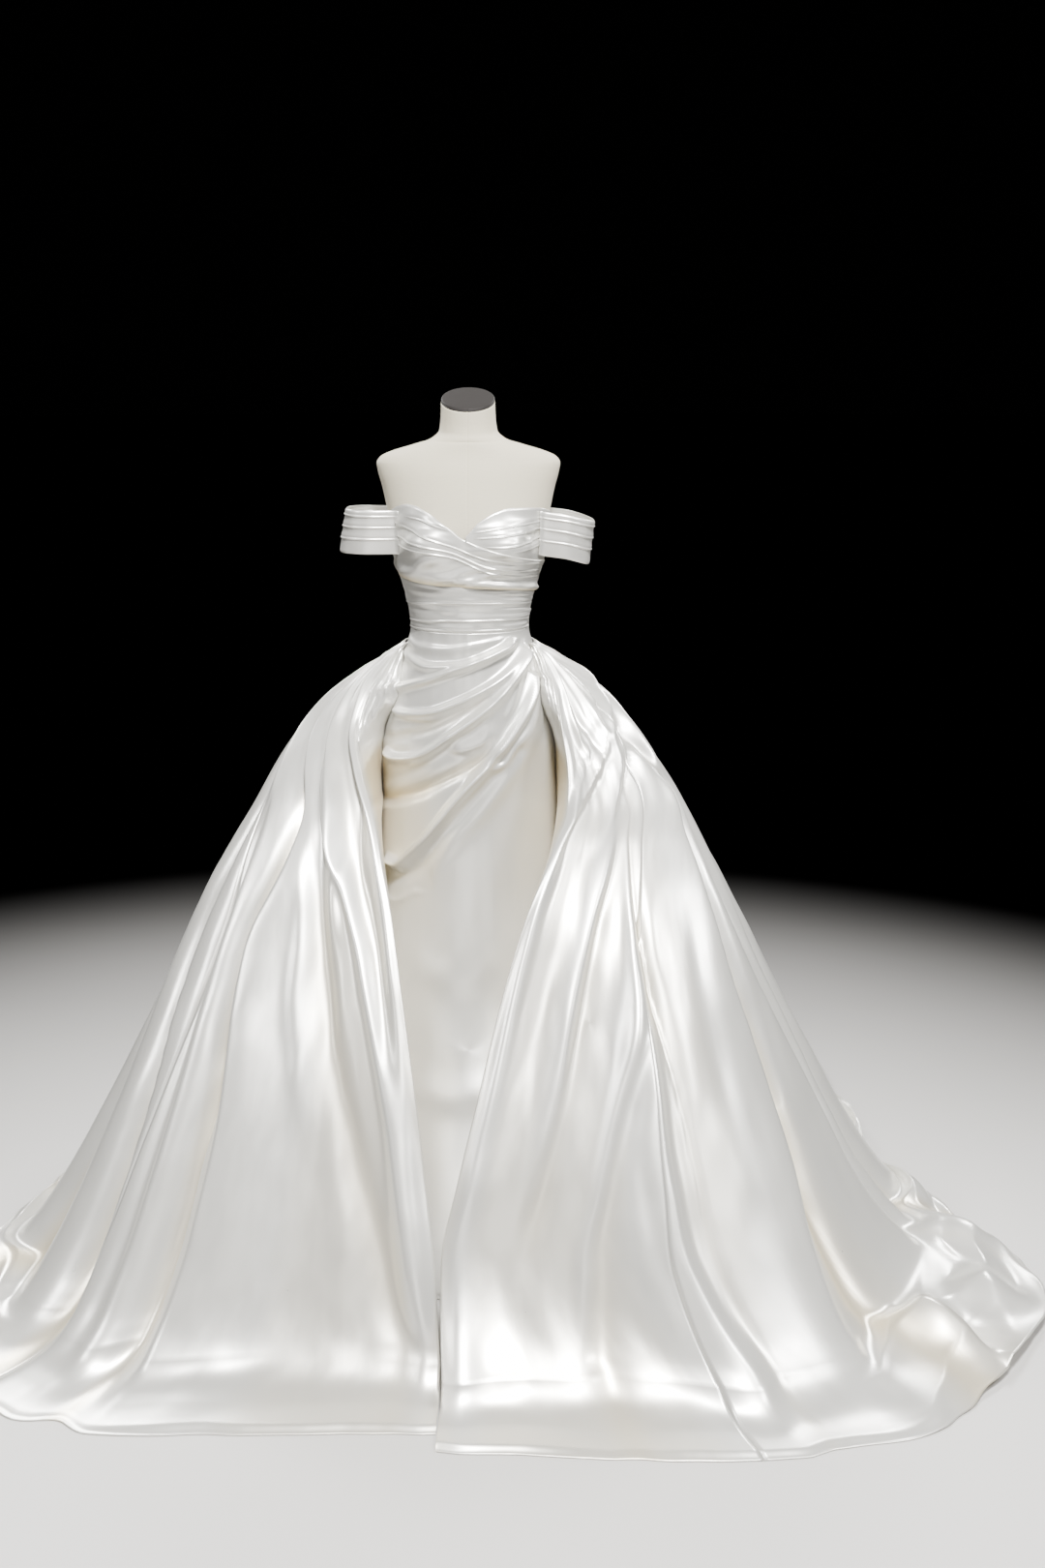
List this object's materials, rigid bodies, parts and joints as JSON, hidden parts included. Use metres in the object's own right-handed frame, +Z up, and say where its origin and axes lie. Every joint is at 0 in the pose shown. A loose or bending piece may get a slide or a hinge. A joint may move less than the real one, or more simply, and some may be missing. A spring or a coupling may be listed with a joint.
{
  "type": "wedding dress on dress form",
  "caption": "Off-shoulder satin wedding dress with a pleated bodice, a draped narrow skirt and an open trained overskirt, worn on a limbless dress form with a stand.",
  "frame": {"origin": "centre of the stand base's underside, on the floor under the form's pole", "axes": "+Z up, the dress's front faces -Y, +X is to the right of someone who looks at its front"},
  "size_m": [2.1766, 2.4019, 1.6953],
  "materials": {
    "ivory_satin": "heavy glossy satin",
    "form_linen": "plain woven linen cover, matt",
    "form_cap": "dark stained wood or plastic, semi-matt",
    "stand_steel": "brushed"
  },
  "bodies": {
    "root": {"bodice_back_left": "ivory_satin", "bodice_back_right": "ivory_satin", "bodice_left_drape": "ivory_satin", "bodice_midriff": "ivory_satin", "bodice_right_drape": "ivory_satin", "overskirt_left_front": "ivory_satin", "overskirt_left_side": "ivory_satin", "overskirt_left_train": "ivory_satin", "overskirt_right_front": "ivory_satin", "overskirt_right_side": "ivory_satin", "overskirt_right_train": "ivory_satin", "skirt_back": "ivory_satin", "skirt_front": "ivory_satin", "sleeve_left": "ivory_satin", "sleeve_right": "ivory_satin", "form_torso": "form_linen", "form_neck_cap": "form_cap", "form_stand": "stand_steel"}
  },
  "joints": []
}
